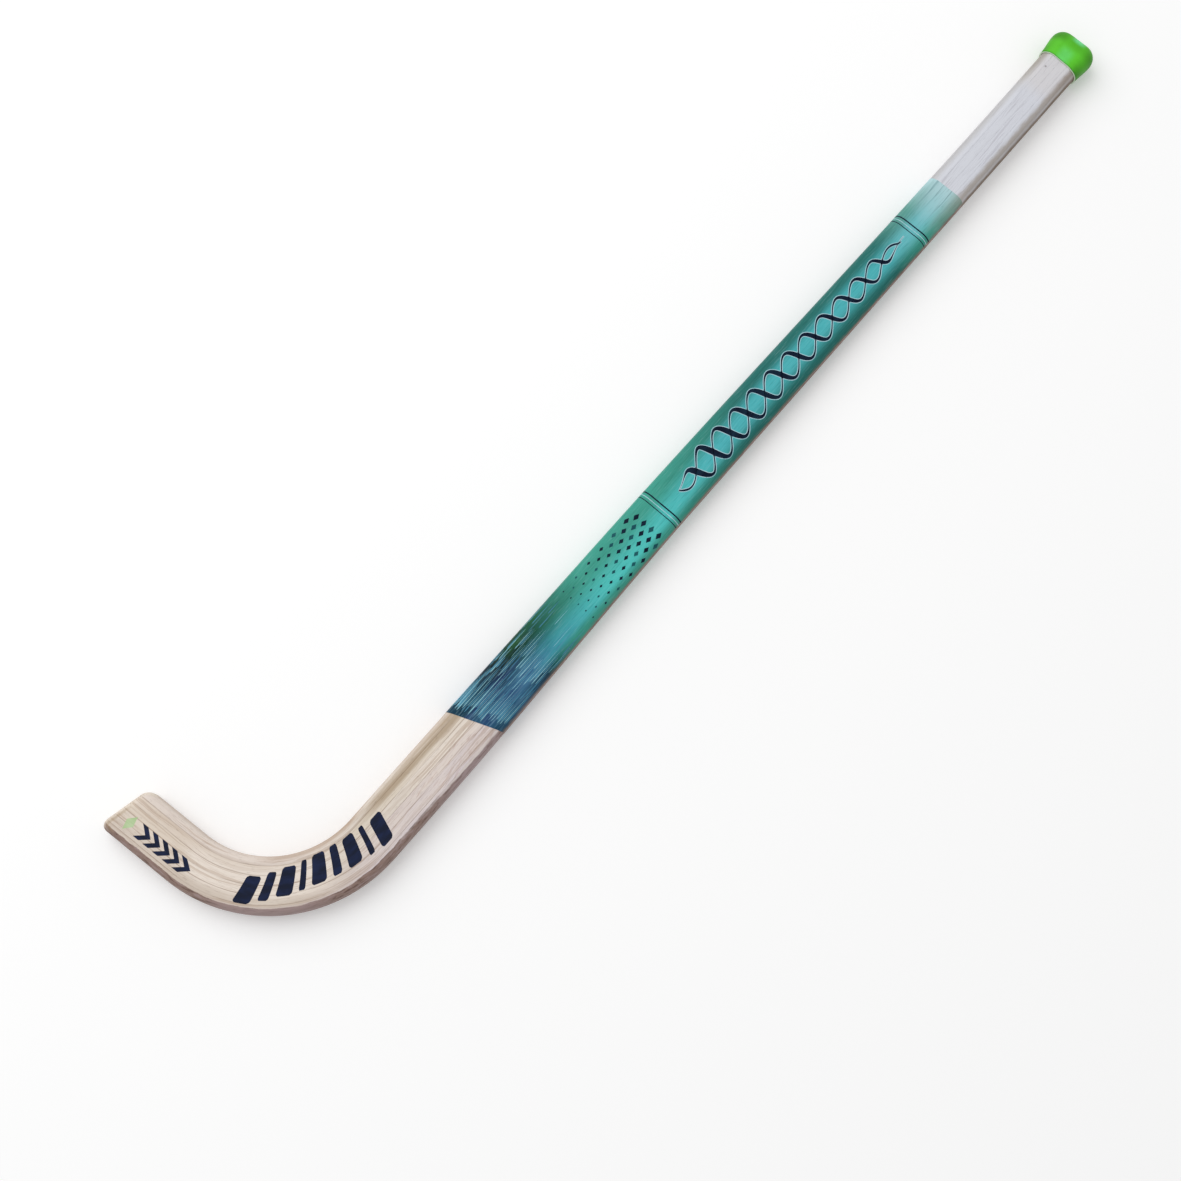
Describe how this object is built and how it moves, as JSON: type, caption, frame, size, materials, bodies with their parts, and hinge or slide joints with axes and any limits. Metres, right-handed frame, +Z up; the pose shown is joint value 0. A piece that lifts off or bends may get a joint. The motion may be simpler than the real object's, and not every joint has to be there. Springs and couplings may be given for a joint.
{
  "type": "roller hockey stick",
  "caption": "Rink hockey stick of bent laminated wood with a flat curved blade, a printed film round the lower shaft and a push-on rubber end cap, lying on its back face.",
  "frame": {"origin": "on the floor under the middle of the stick's bounding box, with the stick lying on its back face", "axes": "+X along the shaft towards the end cap, +Y the way the blade bends, +Z up, out of the front face"},
  "size_m": [0.9918, 0.182, 0.0262],
  "materials": {
    "outer_ply": "satin",
    "core_ply_1": "satin",
    "core_ply_2": "satin",
    "core_ply_3": "satin",
    "core_ply_4": "satin",
    "inner_ply": "satin",
    "print_film": "gloss",
    "end_cap": "satin"
  },
  "bodies": {
    "stick": {"outer_ply": "outer_ply", "core_ply_1": "core_ply_1", "core_ply_2": "core_ply_2", "core_ply_3": "core_ply_3", "core_ply_4": "core_ply_4", "inner_ply": "inner_ply", "print_film": "print_film"},
    "cap": {"end_cap": "end_cap"}
  },
  "joints": [
    {"name": "cap_pull", "type": "slide", "parent": "stick", "child": "cap", "axis": [1, 0, 0.0032], "range_m": [0, 0.04]}
  ]
}
